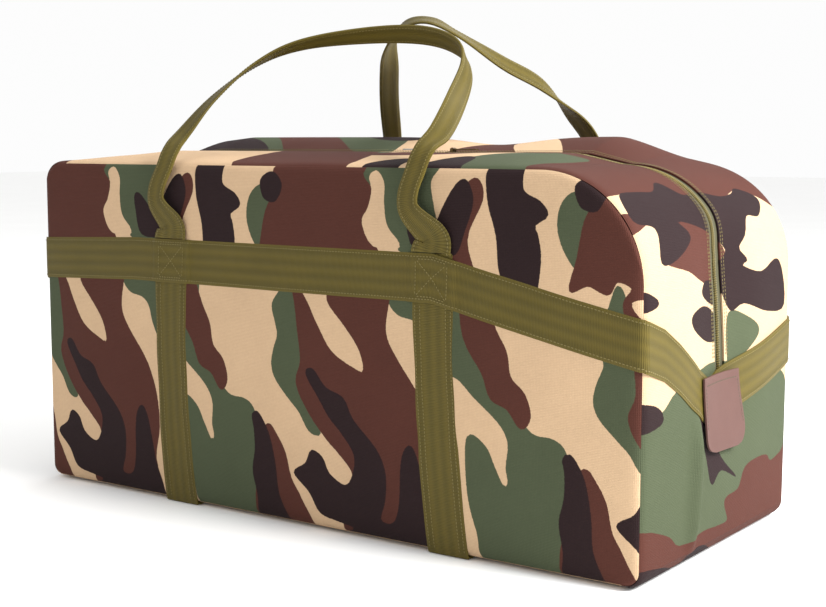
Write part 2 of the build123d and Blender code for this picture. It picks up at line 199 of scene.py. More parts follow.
HANDLE_BACK = (
    (-0.90, -0.04, -42, (1.00, 0.00, 0.00)), (-0.80, -0.03, -5, (1.00, 0.00, 0.10)),
    (-0.73, 0.05, 24, (0.95, 0.25, 0.06)), (-0.51, 0.39, 73, (0.75, 0.63, 0.18)),
    (-0.30, 0.68, 109, (0.66, 0.69, 0.30)), (-0.13, 0.90, 137, (0.20, 0.75, 0.62)),
    (0.04, 0.99, 158, (-0.10, 0.80, 0.58)), (0.24, 0.99, 162, (-0.20, 0.93, 0.30)),
    (0.40, 0.90, 146, (-0.56, 0.77, 0.31)), (0.56, 0.62, 115, (-0.40, 0.64, 0.65)),
    (0.72, 0.38, 89, (-0.45, 0.66, 0.60)), (0.83, 0.12, 49, (-0.85, 0.38, -0.30)),
    (0.88, 0.01, 24, (-0.98, 0.10, -0.10)), (0.91, -0.03, -5, (-1.00, 0.00, 0.00)),
    (0.93, -0.04, -42, (-1.00, 0.00, 0.00)))


# ---- settings a user would change ----
class BagSizes(bpy.types.PropertyGroup):
    """Sizes of the soft pieces."""
    cloth: FloatProperty(name="Cloth", description="Thickness of the coated canvas", default=0.002,
                         unit="LENGTH")
    webbing_width: FloatProperty(name="Webbing width", description="Width of the belt and straps",
                                 default=0.050, unit="LENGTH")
    webbing: FloatProperty(name="Webbing thickness", description="Thickness of one layer", default=0.0016,
                           unit="LENGTH")
    grip_width: FloatProperty(name="Grip width", description="Width of the folded handle", default=0.025,
                              unit="LENGTH")
    grip: FloatProperty(name="Grip thickness", description="Thickness of the folded handle", default=0.0034,
                        unit="LENGTH")
    front_bulge: FloatProperty(name="Front bulge", description="How far the front swells", default=0.016,
                               unit="LENGTH")
    coil_pitch: FloatProperty(name="Coil pitch", description="Distance between two loops of the zip",
                              default=0.0018, unit="LENGTH")
    stitch_pitch: FloatProperty(name="Stitch pitch", description="Distance between two stitches",
                                default=0.0038, unit="LENGTH")


class BagColours(bpy.types.PropertyGroup):
    """Colours as sRGB hex values."""
    cream: StringProperty(name="Cream", description="Ground of the print", default="bc9f7f")
    green: StringProperty(name="Green", description="Green of the print", default="434a36")
    brown: StringProperty(name="Brown", description="Brown of the print", default="492820")
    black: StringProperty(name="Black", description="Darkest colour of the print", default="231617")
    webbing: StringProperty(name="Webbing", description="Olive webbing", default="514512")
    patch: StringProperty(name="Patch", description="Brown cloth of the end patches", default="4b2d26")


def sizes():
    return bpy.context.scene.bag_sizes


def colours():
    return bpy.context.scene.bag_colours


# ---- shape of the filled bag ----
def fade(value, low, high):
    """Goes smoothly from 0 at low to 1 at high."""
    share = np.clip((value - low) / (high - low), 0.0, 1.0)
    return share * share * (3.0 - 2.0 * share)


def rim(s):
    """Outline of the bag in X and Z, and its outward direction, at a distance s from the top's middle."""
    side = np.where(s < 0, -1.0, 1.0)
    radius = np.where(s < 0, R_LEFT, R_RIGHT)
    far = np.abs(s)
    straight = HALF_L - radius
    arc = radius * math.pi / 2
    down = HEIGHT - radius - FLOOR_Z - R_BASE
    turn = np.clip((far - straight) / radius, 0.0, math.pi / 2)
    drop = np.clip(far - straight - arc, 0.0, down)
    low = np.clip((far - straight - arc - down) / R_BASE, 0.0, math.pi / 2)
    under = np.clip(far - straight - arc - down - R_BASE * math.pi / 2, 0.0, None)
    x = np.minimum(far, straight) + radius * np.sin(turn) - R_BASE * (1.0 - np.cos(low)) - under
    z = HEIGHT - radius * (1.0 - np.cos(turn)) - drop - R_BASE * np.sin(low)
    angle = turn + low
    nx, nz = side * np.sin(angle), np.cos(angle)
    return side * x, z, nx, nz


def rim_at_height(z, side):
    """Distance along the outline where the upright run of an end is at height z."""
    radius = R_LEFT if side < 0 else R_RIGHT
    return side * (HALF_L - radius + radius * math.pi / 2 + (HEIGHT - radius - z))


def rim_foot(side):
    """Distance along the outline where the upright run of an end meets the base's rounding."""
    return rim_at_height(FLOOR_Z + R_BASE, side)


def rim_below(side):
    """Distance along the outline to the middle of the base."""
    return rim_foot(side) + side * (R_BASE * math.pi / 2 + HALF_L - R_BASE)


def crown(x):
    """How far the zip line stands above the top seams."""
    left = np.clip((x + HALF_L - R_LEFT) / (OPEN_LEFT + HALF_L - R_LEFT), 0.0, 1.0)
    right = np.clip((HALF_L - R_RIGHT - x) / (HALF_L - R_RIGHT - OPEN_RIGHT), 0.0, 1.0)
    return CROWN * np.minimum(left, right)


def end_swell(y, z, side):
    """How far an end stands out of its flat plane."""
    along = 1.0 - (y / HALF_D) ** 2
    swell = 0.009 * along * np.sin(math.pi * np.clip(z / 0.30, 0.0, 1.0)) ** 0.8
    if side < 0:
        return swell
    dip = 0.013 * np.exp(-(y / 0.06) ** 2) * fade(z, 0.360, 0.315) * fade(z, 0.10, 0.19)
    fold = 0.008 * np.exp(-((y + 0.078) / 0.010) ** 2) * fade(z, 0.175, 0.12) * fade(z, 0.0, 0.05)
    return swell - dip + fold


def strip_swell(s, y):
    """Outward offset of the strip of cloth that runs round the top, ends and base."""
    x, z, _, nz = rim(s)
    across = np.clip((np.abs(y) - ZIP_EDGE) / (SEAM_Y - ZIP_EDGE), 0.0, 1.0)
    top = crown(x) * (1.0 - across ** 1.9) * (nz > 0)
    ends = np.where(s < 0, end_swell(y, z, -1), end_swell(y, z, 1))
    ends = ends * (1.0 - np.clip(nz, 0.0, 1.0)) * (nz > -0.2)
    lengths = fade(x, -HALF_L + 0.01, -0.34) * fade(x, 0.345, 0.24)
    lengths = lengths * (1.0 - 0.45 * np.exp(-((x - 0.09) / 0.07) ** 2))
    puff = np.where(y > 0, 0.021, 0.003) * lengths * np.sin(math.pi * across) * np.clip(nz, 0.0, 1.0)
    top = top + puff
    waves = 0.0011 * np.sin(x * 31.0 + y * 17.0) * np.sin(y * 23.0 + 1.1) * across * (nz > 0)
    roll = SEAM_DIP * np.exp(-(SEAM_Y - np.abs(y)).clip(0.0) / SEAM_ROLL)
    return top + ends + waves - roll


def strip_point(s, y, lift=0.0):
    """A point on that strip, lifted off it."""
    x, z, nx, nz = rim(s)
    out = strip_swell(s, y) + lift
    return np.stack([x + nx * out, y + 0 * s, z + nz * out], axis=-1)


def face_swell(x, z, way):
    """How far the front (way -1) or back (way 1) stands out, without its seam rolls."""
    bulge = sizes().front_bulge * (1.0 if way < 0 else 0.75)
    up = np.clip(z / HEIGHT, 0.0, 1.0)
    swell = bulge * (1.0 - np.abs(x / HALF_L) ** 4).clip(0.0) * np.sin(math.pi * up).clip(0.0) ** 0.8
    pull = 0.0022 * np.exp(-((z - belt_height(x, way)) / 0.035) ** 2)
    waves = 0.0012 * np.sin(x * 26.0 + 2.0 * way) * np.sin(z * 19.0 + x * 6.0)
    waves = waves + 0.0007 * np.sin(x * 61.0 - z * 34.0) * np.sin(z * 47.0 + x * 11.0 + 1.0)
    straps = 0.0016 * (np.exp(-((x - STRAP_X) / 0.03) ** 2) + np.exp(-((x + STRAP_X) / 0.03) ** 2))
    inside = (1.0 - np.abs(x / HALF_L) ** 6).clip(0.0) * np.sin(math.pi * up).clip(0.0)
    return swell + (waves - pull - straps) * inside


def belt_height(x, way):
    """Height of the belt's middle line along the front (way -1) or back (way 1)."""
    line = np.array(BELT_FRONT if way < 0 else BELT_BACK)
    return np.interp(x, line[:, 0], line[:, 1])


# ---- making pieces ----
def new_grid(name, across, along):
    """A flat grid named for its piece, the only thing selected."""
    bpy.ops.object.select_all(action="DESELECT")
    bpy.ops.mesh.primitive_grid_add(x_subdivisions=across, y_subdivisions=along, size=1.0)
    piece = bpy.context.object
    piece.name = piece.data.name = name
    co = np.empty(len(piece.data.vertices) * 3)
    piece.data.vertices.foreach_get("co", co)
    co = co.reshape(-1, 3)
    return piece, co[:, 0] + 0.5, co[:, 1] + 0.5


def select_only(piece):
    """Makes a piece the only one selected, and the active one."""
    bpy.ops.object.select_all(action="DESELECT")
    piece.select_set(True)
    bpy.context.view_layer.objects.active = piece


def set_points(piece, points):
    """Puts every point of a piece at its place."""
    piece.data.vertices.foreach_set("co", np.asarray(points, float).ravel())
    piece.data.update()


def face_out(piece, centre):
    """Turns the faces of an open sheet away from a point."""
    count = len(piece.data.polygons)
    normals, middles = np.empty(count * 3), np.empty(count * 3)
    piece.data.polygons.foreach_get("normal", normals)
    piece.data.polygons.foreach_get("center", middles)
    out = middles.reshape(-1, 3) - np.asarray(centre)
    if (normals.reshape(-1, 3) * out).sum() < 0:
        piece.data.flip_normals()


def clean(piece, merge=0.0, fill=False, outward=True):
    """Merges doubles, fills holes and turns the faces outwards, as asked."""
    select_only(piece)
    bpy.ops.object.mode_set(mode="EDIT")
    bpy.ops.mesh.select_all(action="SELECT")
    if merge:
        bpy.ops.mesh.remove_doubles(threshold=merge)
    if fill:
        bpy.ops.mesh.fill_holes(sides=0)
    if outward:
        bpy.ops.mesh.normals_make_consistent(inside=False)
    bpy.ops.object.mode_set(mode="OBJECT")


def small_parts(name, vertices, faces):
    """One piece made of many small closed shapes."""
    mesh = bpy.data.meshes.new(name)
    mesh.from_pydata(vertices, [], faces)
    piece = bpy.data.objects.new(name, mesh)
    bpy.context.scene.collection.objects.link(piece)
    clean(piece)
    return piece


def write_uv(piece, across, along):
    """Lays the piece's own UV map in metres."""
    layer = piece.data.uv_layers.active or piece.data.uv_layers.new(name="cloth")
    corners = np.empty(len(piece.data.loops), dtype=np.int64)
    piece.data.loops.foreach_get("vertex_index", corners)
    layer.data.foreach_set("uv", np.stack([across[corners], along[corners]], axis=-1).ravel())


def finish(piece, materials, thickness=0.0, offset=-1.0):
    """Gives a piece its wall, its materials and smooth shading."""
    for material in materials:
        piece.data.materials.append(material)
    select_only(piece)
    if thickness:
        wall = piece.modifiers.new("wall", "SOLIDIFY")
        wall.thickness, wall.offset = thickness, offset
        wall.use_even_offset = False
        wall.material_offset = len(materials) - 1
        bpy.ops.object.modifier_apply(modifier=wall.name)
    bpy.ops.object.shade_smooth_by_angle(angle=math.radians(50))
    return piece


def rows(count, low, high):
    """Shares from 0 to 1 with extra ones near both ends, where the cloth rolls into its seams."""
    shares = np.linspace(0.0, 1.0, count)
    span = high - low
    close = np.array([0.0010, 0.0022, 0.0038, 0.0060]) / span
    return np.unique(np.round(np.concatenate([shares, close, 1.0 - close]), 6))


# ---- the print on the cloth ----
def rounded(points):
    """A closed smooth curve through the points."""
    p = np.array(points, float)
    before, after, last = np.roll(p, 1, 0), np.roll(p, -1, 0), np.roll(p, -2, 0)
    parts = []
    for t in (0.0, 0.25, 0.5, 0.75):
        parts.append(0.5 * (2 * p + (after - before) * t + (2 * before - 5 * p + 4 * after - last) * t * t
                            + (3 * p - before - 3 * after + last) * t ** 3))
    return np.stack(parts, axis=1).reshape(-1, 2)


REACH = 12.0                                  # distances beyond this many millimetres aren't needed


def inside_distance(shape, u, v):
    """Distance inside a closed curve, negative outside."""
    result = np.full(u.shape, -REACH)
    low, high = shape.min(0) - REACH, shape.max(0) + REACH
    near = (u > low[0]) & (u < high[0]) & (v > low[1]) & (v < high[1])
    pu, pv = u[near], v[near]
    best = np.full(pu.shape, 1e9)
    crossings = np.zeros(pu.shape, dtype=bool)
    for (ax, ay), (bx, by) in zip(shape, np.roll(shape, -1, 0)):
        dx, dy = bx - ax, by - ay
        t = np.clip(((pu - ax) * dx + (pv - ay) * dy) / (dx * dx + dy * dy + 1e-9), 0.0, 1.0)
        best = np.minimum(best, (pu - ax - t * dx) ** 2 + (pv - ay - t * dy) ** 2)
        if ay != by:
            crossings ^= ((ay > pv) != (by > pv)) & (pu < dx * (pv - ay) / (by - ay) + ax)
    result[near] = np.clip(np.where(crossings, 1.0, -1.0) * np.sqrt(best), -REACH, REACH)
    return result


FIELD_STEP = 2.0
fields = {}


def field(name, prints, u_range, v_range, repeats):
    """Distance grids of one print, worked out once."""
    if name not in fields:
        us, vs = np.arange(*u_range, FIELD_STEP), np.arange(*v_range, FIELD_STEP)
        u, v = np.meshgrid(us, vs, indexing="ij")
        grids = {}
        for ink, shapes in prints.items():
            grid = np.full(u.shape, -REACH)
            for shape in shapes:
                curve = rounded(shape)
                for shift in repeats:
                    grid = np.maximum(grid, inside_distance(curve + [shift, 0.0], u, v))
            grids[ink] = grid
        fields[name] = (us, vs, grids)
    return fields[name]


def sample(kind, u, v):
    """Distances of each printed colour at points given in millimetres."""
    if kind == "front":
        us, vs, grids = field(kind, FRONT_PRINT, (0.0, REPEAT + 4), (-6.0, 412.0), (-REPEAT, 0.0, REPEAT))
        u = np.mod(u, REPEAT)
    elif kind == "end":
        us, vs, grids = field(kind, END_PRINT, (-192.0, 194.0), (-22.0, 530.0), (0.0,))
    else:
        us, vs, grids = field(kind, TOP_PRINT, (-430.0, 350.0), (-192.0, 194.0), (0.0,))
    a = np.clip((u - us[0]) / FIELD_STEP, 0, len(us) - 1.001)
    b = np.clip((v - vs[0]) / FIELD_STEP, 0, len(vs) - 1.001)
    i, j = a.astype(int), b.astype(int)
    fa, fb = a - i, b - j
    result = {}
    for ink, grid in grids.items():
        lower = grid[i, j] * (1 - fa) + grid[i + 1, j] * fa
        upper = grid[i, j + 1] * (1 - fa) + grid[i + 1, j + 1] * fa
        result[ink] = lower * (1 - fb) + upper * fb
    return result


# where the top's print hands over to the ends' print, and where each end's print starts, in millimetres
END_PRINT_FROM = {"left": 391.0, "right": 250.0}
END_PRINT_TOP = {"left": 790.0, "right": 770.0}
BACK_PRINT_SHIFT = 150                       # so that the back doesn't repeat the front
BASE_PRINT_FROM = -6                         # the base's print starts this far below the ends' print


def print_face(x, z, way):
    """Print distances on the front or back."""
    along = (x + HALF_L) * 1000 if way < 0 else (HALF_L - x) * 1000 + BACK_PRINT_SHIFT
    return sample("front", along, z * 1000)


def print_strip(s, y):
    """Print distances on the strip: the top, then both ends, then the base."""
    q, across = np.abs(s) * 1000, y * 1000
    right = s > 0
    turn = np.where(right, END_PRINT_FROM["right"], END_PRINT_FROM["left"])
    end_v = np.where(right, END_PRINT_TOP["right"], END_PRINT_TOP["left"]) - q
    ends = sample("end", np.where(right, across, -across), end_v)
    top = sample("top", s * 1000, across)
    base = sample("front", across + 200, q - 350)
    result = {}
    for ink in top:
        value = np.where(q > turn, ends[ink], top[ink])
        result[ink] = np.where(end_v < BASE_PRINT_FROM, base[ink], value)
    return result


def write_print(piece, distances):
    """Keeps each ink's distances on the piece's points, for its material."""
    for ink, values in distances.items():
        attribute = piece.data.attributes.new(f"print_{ink}", "FLOAT", "POINT")
        attribute.data.foreach_set("value", values.astype(np.float32))


# ---- materials ----
def colour(text):
    """An sRGB hex value as linear red, green, blue and alpha."""
    parts = [int(text[i:i + 2], 16) / 255 for i in (0, 2, 4)]
    return [p / 12.92 if p <= 0.04045 else ((p + 0.055) / 1.055) ** 2.4 for p in parts] + [1.0]


def add(tree, kind, settings=None, **inputs):
    """Adds a node, sets it up and links or fills its inputs. Keys like i0 mean an input by number."""
    made = tree.nodes.new(kind)
    for key, value in (settings or {}).items():
        setattr(made, key, value)
    for key, value in inputs.items():
        socket = made.inputs[int(key[1:])] if key[0] == "i" and key[1:].isdigit() else made.inputs[key]
        if isinstance(value, bpy.types.NodeSocket):
            tree.links.new(value, socket)
        else:
            socket.default_value = value
    return made


def begin(name, roughness, metallic=0.0):
    """A new material with its shader, tree and own coordinates."""
    material = bpy.data.materials.new(name)
    material.use_nodes = True
    tree = material.node_tree
    shader = tree.nodes["Principled BSDF"]
    shader.inputs["Roughness"].default_value = roughness
    shader.inputs["Metallic"].default_value = metallic
    return material, tree, shader, add(tree, "ShaderNodeTexCoord")


def weave(tree, uv, pitch):
    """Height of crossing threads at a pitch in metres."""
    heights = []
    for direction in ("X", "Y"):
        wave = add(tree, "ShaderNodeTexWave", {"wave_type": "BANDS", "bands_direction": direction},
                   Vector=uv, Scale=0.314 / pitch, Distortion=0.6, Detail=1.0)
        heights.append(wave.outputs["Fac"])
    return add(tree, "ShaderNodeMath", {"operation": "MULTIPLY"}, i0=heights[0], i1=heights[1]).outputs[0]


def printed_canvas():
    """Polyester canvas with a printed face: fine crossing threads, matt, ink a little uneven."""
    material, tree, shader, place = begin("printed_polyester_canvas", 0.85)
    uv, where = place.outputs["UV"], place.outputs["Object"]
    shade = colours()
    ragged = add(tree, "ShaderNodeTexNoise", Vector=where, Scale=420.0, Detail=2.0)
    paint = colour(shade.cream)
    # the green and brown inks spread a little, so that no ground shows where they meet
    for name, text, spread in (("green", shade.green, 2.2), ("brown", shade.brown, 2.0),
                               ("cream", shade.cream, 0.0), ("black", shade.black, 0.6)):
        distance = add(tree, "ShaderNodeAttribute", {"attribute_name": f"print_{name}"}).outputs["Fac"]
        uneven = add(tree, "ShaderNodeMath", {"operation": "ADD"}, i0=distance, i1=ragged.outputs["Fac"])
        edge = add(tree, "ShaderNodeMapRange", Value=uneven.outputs[0])
        edge.inputs["From Min"].default_value = 0.25 - spread
        edge.inputs["From Max"].default_value = 0.75 - spread
        paint = add(tree, "ShaderNodeMix", {"data_type": "RGBA"}, i0=edge.outputs[0], i6=paint,
                    i7=colour(text)).outputs[2]
    worn = add(tree, "ShaderNodeTexNoise", Vector=where, Scale=16.0, Detail=6.0, Roughness=0.6)
    worn = add(tree, "ShaderNodeMapRange", Value=worn.outputs["Fac"])
    worn.inputs["To Min"].default_value = 0.90
    worn.inputs["To Max"].default_value = 1.08
    faded = add(tree, "ShaderNodeHueSaturation", Color=paint, Value=worn.outputs[0])
    threads = weave(tree, uv, 0.0016)
    slubs = add(tree, "ShaderNodeTexNoise", Vector=where, Scale=330.0, Detail=4.0, Roughness=0.7)
    grain = add(tree, "ShaderNodeMath", {"operation": "ADD"}, i0=threads, i1=slubs.outputs["Fac"])
    grain = add(tree, "ShaderNodeMapRange", Value=grain.outputs[0])
    grain.inputs["From Max"].default_value = 1.6
    grain.inputs["To Min"].default_value = 0.86
    grain.inputs["To Max"].default_value = 1.16
    woven = add(tree, "ShaderNodeHueSaturation", Color=faded.outputs[0], Value=grain.outputs[0])
    tree.links.new(woven.outputs[0], shader.inputs["Base Color"])
    shader.inputs["Specular IOR Level"].default_value = 0.15
    # threads of 0.5 mm are too fine to show, so they are drawn 1.6 mm apart
    relief = add(tree, "ShaderNodeBump", Height=threads,
                 Distance=0.0004, Strength=0.8)
    tree.links.new(relief.outputs["Normal"], shader.inputs["Normal"])
    return material


def coated_reverse():
    """The cloth's coated inside: smooth dark grey polyurethane with the weave faintly through it."""
    material, tree, shader, place = begin("polyurethane_coated_reverse", 0.5)
    cloudy = add(tree, "ShaderNodeTexNoise", Vector=place.outputs["Object"], Scale=30.0, Detail=4.0)
    paint = add(tree, "ShaderNodeMix", {"data_type": "RGBA"}, i0=cloudy.outputs["Fac"],
                i6=colour("3d3b33"), i7=colour("4c493f")).outputs[2]
    tree.links.new(paint, shader.inputs["Base Color"])
    relief = add(tree, "ShaderNodeBump", Height=weave(tree, place.outputs["UV"], 0.0012),
                 Distance=0.00015, Strength=0.3)
    tree.links.new(relief.outputs["Normal"], shader.inputs["Normal"])
    return material


def woven_webbing():
    """Polypropylene webbing: lengthwise bands of herringbone with fine cross ribs and a dull shine."""
    material, tree, shader, place = begin("woven_polypropylene_webbing", 0.55)
    uv = place.outputs["UV"]
    # ribs of 0.9 mm are too fine to show, so they are drawn 1.6 mm apart
    ribs = add(tree, "ShaderNodeTexWave", {"bands_direction": "Y"}, Vector=uv, Scale=0.314 / 0.0016,
               Distortion=1.2, Detail=1.0)
    bands = add(tree, "ShaderNodeTexWave", {"bands_direction": "X"}, Vector=uv, Scale=0.314 / 0.0125)
    tone = add(tree, "ShaderNodeMix", {"data_type": "RGBA"}, i0=bands.outputs["Fac"],
               i6=colour(colours().webbing), i7=colour("43390c")).outputs[2]
    share = add(tree, "ShaderNodeMath", {"operation": "MULTIPLY"}, i0=ribs.outputs["Fac"], i1=0.35)
    tone = add(tree, "ShaderNodeMix", {"data_type": "RGBA"}, i0=share.outputs[0], i6=tone,
               i7=colour("72652b")).outputs[2]
    patchy = add(tree, "ShaderNodeTexNoise", Vector=place.outputs["Object"], Scale=22.0, Detail=4.0)
    share = add(tree, "ShaderNodeMath", {"operation": "MULTIPLY"}, i0=patchy.outputs["Fac"], i1=0.3)
    tone = add(tree, "ShaderNodeMix", {"data_type": "RGBA"}, i0=share.outputs[0], i6=tone,
               i7=colour("3c3818")).outputs[2]
    tree.links.new(tone, shader.inputs["Base Color"])
    shader.inputs["Specular IOR Level"].default_value = 0.2
    total = add(tree, "ShaderNodeMath", {"operation": "ADD"}, i0=ribs.outputs["Fac"], i1=bands.outputs["Fac"])
    relief = add(tree, "ShaderNodeBump", Height=total.outputs[0],
                 Distance=0.0004, Strength=0.7)
    tree.links.new(relief.outputs["Normal"], shader.inputs["Normal"])
    return material


def plain_cloth(name, base, second, roughness, pitch):
    """A plain woven cloth or tape in one dye, a little uneven."""
    material, tree, shader, place = begin(name, roughness)
    dye = add(tree, "ShaderNodeTexNoise", Vector=place.outputs["Object"], Scale=60.0, Detail=5.0)
    tone = add(tree, "ShaderNodeMix", {"data_type": "RGBA"}, i0=dye.outputs["Fac"], i6=colour(base),
               i7=colour(second)).outputs[2]
    tree.links.new(tone, shader.inputs["Base Color"])
    relief = add(tree, "ShaderNodeBump", Height=weave(tree, place.outputs["UV"], pitch),
                 Distance=0.0003, Strength=0.5)
    tree.links.new(relief.outputs["Normal"], shader.inputs["Normal"])
    return material


def metal(name, base, worn_to, roughness):
    """Cast and plated metal, paler where hands rub it."""
    material, tree, shader, place = begin(name, roughness, 1.0)
    rub = add(tree, "ShaderNodeTexNoise", Vector=place.outputs["Object"], Scale=260.0, Detail=5.0)
    tone = add(tree, "ShaderNodeMix", {"data_type": "RGBA"}, i0=rub.outputs["Fac"], i6=colour(base),
               i7=colour(worn_to)).outputs[2]
    tree.links.new(tone, shader.inputs["Base Color"])
    relief = add(tree, "ShaderNodeBump", Height=rub.outputs["Fac"],
                 Distance=0.0001, Strength=0.3)
    tree.links.new(relief.outputs["Normal"], shader.inputs["Normal"])
    return material


made_materials = {}


def stuff(name):
    """The material of that name, made the first time it is asked for."""
    if name not in made_materials:
        makers = {
            "canvas": printed_canvas,
            "reverse": coated_reverse,
            "webbing": woven_webbing,
            # close-woven nylon pack cloth
            "patch": lambda: plain_cloth("nylon_pack_cloth", colours().patch, "53342c", 0.7, 0.0011),
            # olive polyester thread, slightly shiny
            "thread": lambda: plain_cloth("polyester_thread", "5f5426", "6d6130", 0.6, 0.0010),
            "tape": lambda: plain_cloth("polyester_zip_tape", "39371f", "45422a", 0.75, 0.0010),
            "binding": lambda: plain_cloth("cotton_binding_tape", "3a3626", "474230", 0.85, 0.0010),
            # moulded monofilament, smooth and bright on its bends
            "coil": lambda: plain_cloth("polyester_coil", "8b7c45", "9c8d55", 0.35, 0.0010),
            "bronze": lambda: metal("antique_plated_zinc", "4a3b28", "7a6544", 0.38),
            "nickel": lambda: metal("nickel_plated_zinc", "a8a8a4", "c4c4c0", 0.28),
        }
        made_materials[name] = makers[name]()
    return made_materials[name]


# ---- stitches ----
def stitch_row(points, normals, pitch, length=0.0027, radius=0.00042):
    """Corner points and faces of a row of short thick threads lying along a path."""
    gaps = np.linalg.norm(np.diff(points, axis=0), axis=1)
    travelled = np.concatenate([[0.0], np.cumsum(gaps)])
    stops = np.arange(pitch, travelled[-1] - pitch / 2, pitch)

    def at(values, where):
        return np.stack([np.interp(where, travelled, values[:, k]) for k in range(3)], axis=-1)

    middle = at(points, stops)
    along = at(points, stops + length / 2) - at(points, stops - length / 2)
    along /= np.linalg.norm(along, axis=1, keepdims=True) + 1e-9
    up = at(normals, stops)
    up /= np.linalg.norm(up, axis=1, keepdims=True) + 1e-9
    side = np.cross(along, up)
    corners = []
    for end in (-1, 1):
        for a, b, reach in ((-1, 0, 0.75), (0, 1, 0.75), (1, 0, 0.75), (0, -1, 0.75)):
            corners.append(middle + along * end * length * 0.33 + side * a * radius * 1.2
                           + up * b * radius * reach)
    corners.append(middle - along * length / 2 - up * radius * 0.6)
    corners.append(middle + along * length / 2 - up * radius * 0.6)
    points_out = np.stack(corners, axis=1)
    faces = []
    for k in range(4):
        n = (k + 1) % 4
        faces += [(k, n, 4 + n, 4 + k), (8, n, k), (9, 4 + k, 4 + n)]
    return points_out, faces


def stitches(name, paths, body="root", pitch=None, material="thread"):
    """One piece made of every stitch along the paths."""
    vertices, faces = [], []
    for points, normals in paths:
        corners, pattern = stitch_row(np.asarray(points, float), np.asarray(normals, float),
                                      pitch or sizes().stitch_pitch)
        for stitch in corners:
            start = len(vertices)
            vertices.extend(map(tuple, stitch))
            faces.extend(tuple(start + k for k in face) for face in pattern)
    piece = small_parts(name, vertices, faces)
    finish(piece, [stuff(material)])
    if body:
        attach(piece, body)
    return piece


# ---- cloth pieces ----
def face_panel(name, way):
    """The front or back panel, bounded by the bag's outline."""
    arc_left = -HALF_L + R_LEFT * (1 - np.cos(np.linspace(0, math.pi / 2, 16)))
    arc_right = HALF_L - R_RIGHT * (1 - np.cos(np.linspace(0, math.pi / 2, 34)))
    straight = np.linspace(-HALF_L + R_LEFT, HALF_L - R_RIGHT, 190)
    xs = np.unique(np.round(np.concatenate([arc_left, straight, arc_right]), 5))
    ups = rows(104, FLOOR_Z, HEIGHT)
    piece, u, v = new_grid(f"{name}_cloth", len(xs) - 1, len(ups) - 1)
    x = xs[np.rint(u * (len(xs) - 1)).astype(int)]
    share = ups[np.rint(v * (len(ups) - 1)).astype(int)]
    radius = np.where(x < 0, R_LEFT, R_RIGHT)
    past = (np.abs(x) - (HALF_L - radius)).clip(0.0)
    high = HEIGHT - radius + np.sqrt((radius ** 2 - past ** 2).clip(0.0))
    past = (np.abs(x) - (HALF_L - R_BASE)).clip(0.0)
    low = FLOOR_Z + R_BASE - np.sqrt((R_BASE ** 2 - past ** 2).clip(0.0))
    z = low + (high - low) * share
    scale = 1.0 - SEAM_DIP / HALF_L
    edge = np.minimum(np.minimum(z - low, high - z), (HALF_L - np.abs(x)).clip(0.0))
    y = way * (SEAM_Y + SEAM_DIP * (1 - np.exp(-edge / SEAM_ROLL)) + face_swell(x, z, way))
    level = FLOOR_Z + SEAM_DIP + (z - FLOOR_Z) * (1 - 2 * SEAM_DIP / HEIGHT)
    set_points(piece, np.stack([x * scale, y, level], -1))
    write_uv(piece, x, z)
    write_print(piece, print_face(x, z, way))
    face_out(piece, (0, 0, 0.2))
    finish(piece, [stuff("canvas"), stuff("reverse")], sizes().cloth)
    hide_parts(name)
    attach(piece, "root")
    return piece


def strip_panel(name, s_low, s_high, y0, y1, along, across, body="root"):
    """A piece of the strip between two limits along it, which may depend on y."""
    ys = y0 + (y1 - y0) * rows(across, min(y0, y1), max(y0, y1))
    piece, u, v = new_grid(name, len(ys) - 1, along)
    y = ys[np.rint(u * (len(ys) - 1)).astype(int)]
    low, high = s_low(y), s_high(y)
    s = low + (high - low) * v
    set_points(piece, strip_point(s, y))
    write_uv(piece, y, s)
    write_print(piece, print_strip(s, y))
    face_out(piece, (0, 0, 0.2))
    finish(piece, [stuff("canvas"), stuff("reverse")], sizes().cloth)
    return piece


def belt_end_height(y, side):
    """Height of the belt's middle line across an end."""
    line = np.array(BELT_LEFT if side < 0 else BELT_RIGHT)
    return np.interp(y, line[:, 0], line[:, 1])


def constant(value):
    return lambda y: np.full_like(y, value)


def under_belt(side):
    return lambda y: rim_at_height(belt_end_height(y, side), side)


class BAG_OT_front_and_back(bpy.types.Operator):
    """Sew the front and back panels"""
    bl_idname = "bag.front_and_back"
    bl_label = "Front and back"
    bl_options = {"REGISTER", "UNDO"}

    def execute(self, context):
        face_panel("front_panel", -1)
        face_panel("back_panel", 1)
        return {"FINISHED"}


class BAG_OT_ends_and_base(bpy.types.Operator):
    """Make the base and the two ends below the zip"""
    bl_idname = "bag.ends_and_base"
    bl_label = "Ends and base"
    bl_options = {"REGISTER", "UNDO"}

    def execute(self, context):
        for end, side in ENDS:
            low, middle = rim_foot(side), rim_below(side)
            piece = strip_panel(f"end_panel_{end}_cloth", under_belt(side), constant(low),
                                -SEAM_Y, SEAM_Y, 70, 96)
            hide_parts(f"end_panel_{end}")
            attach(piece, "root")
            piece = strip_panel(f"base_{end}_cloth", constant(low), constant(middle),
                                -SEAM_Y, SEAM_Y, 100, 60)
            if side > 0:
                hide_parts("base_panel")
            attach(piece, "root")
        return {"FINISHED"}


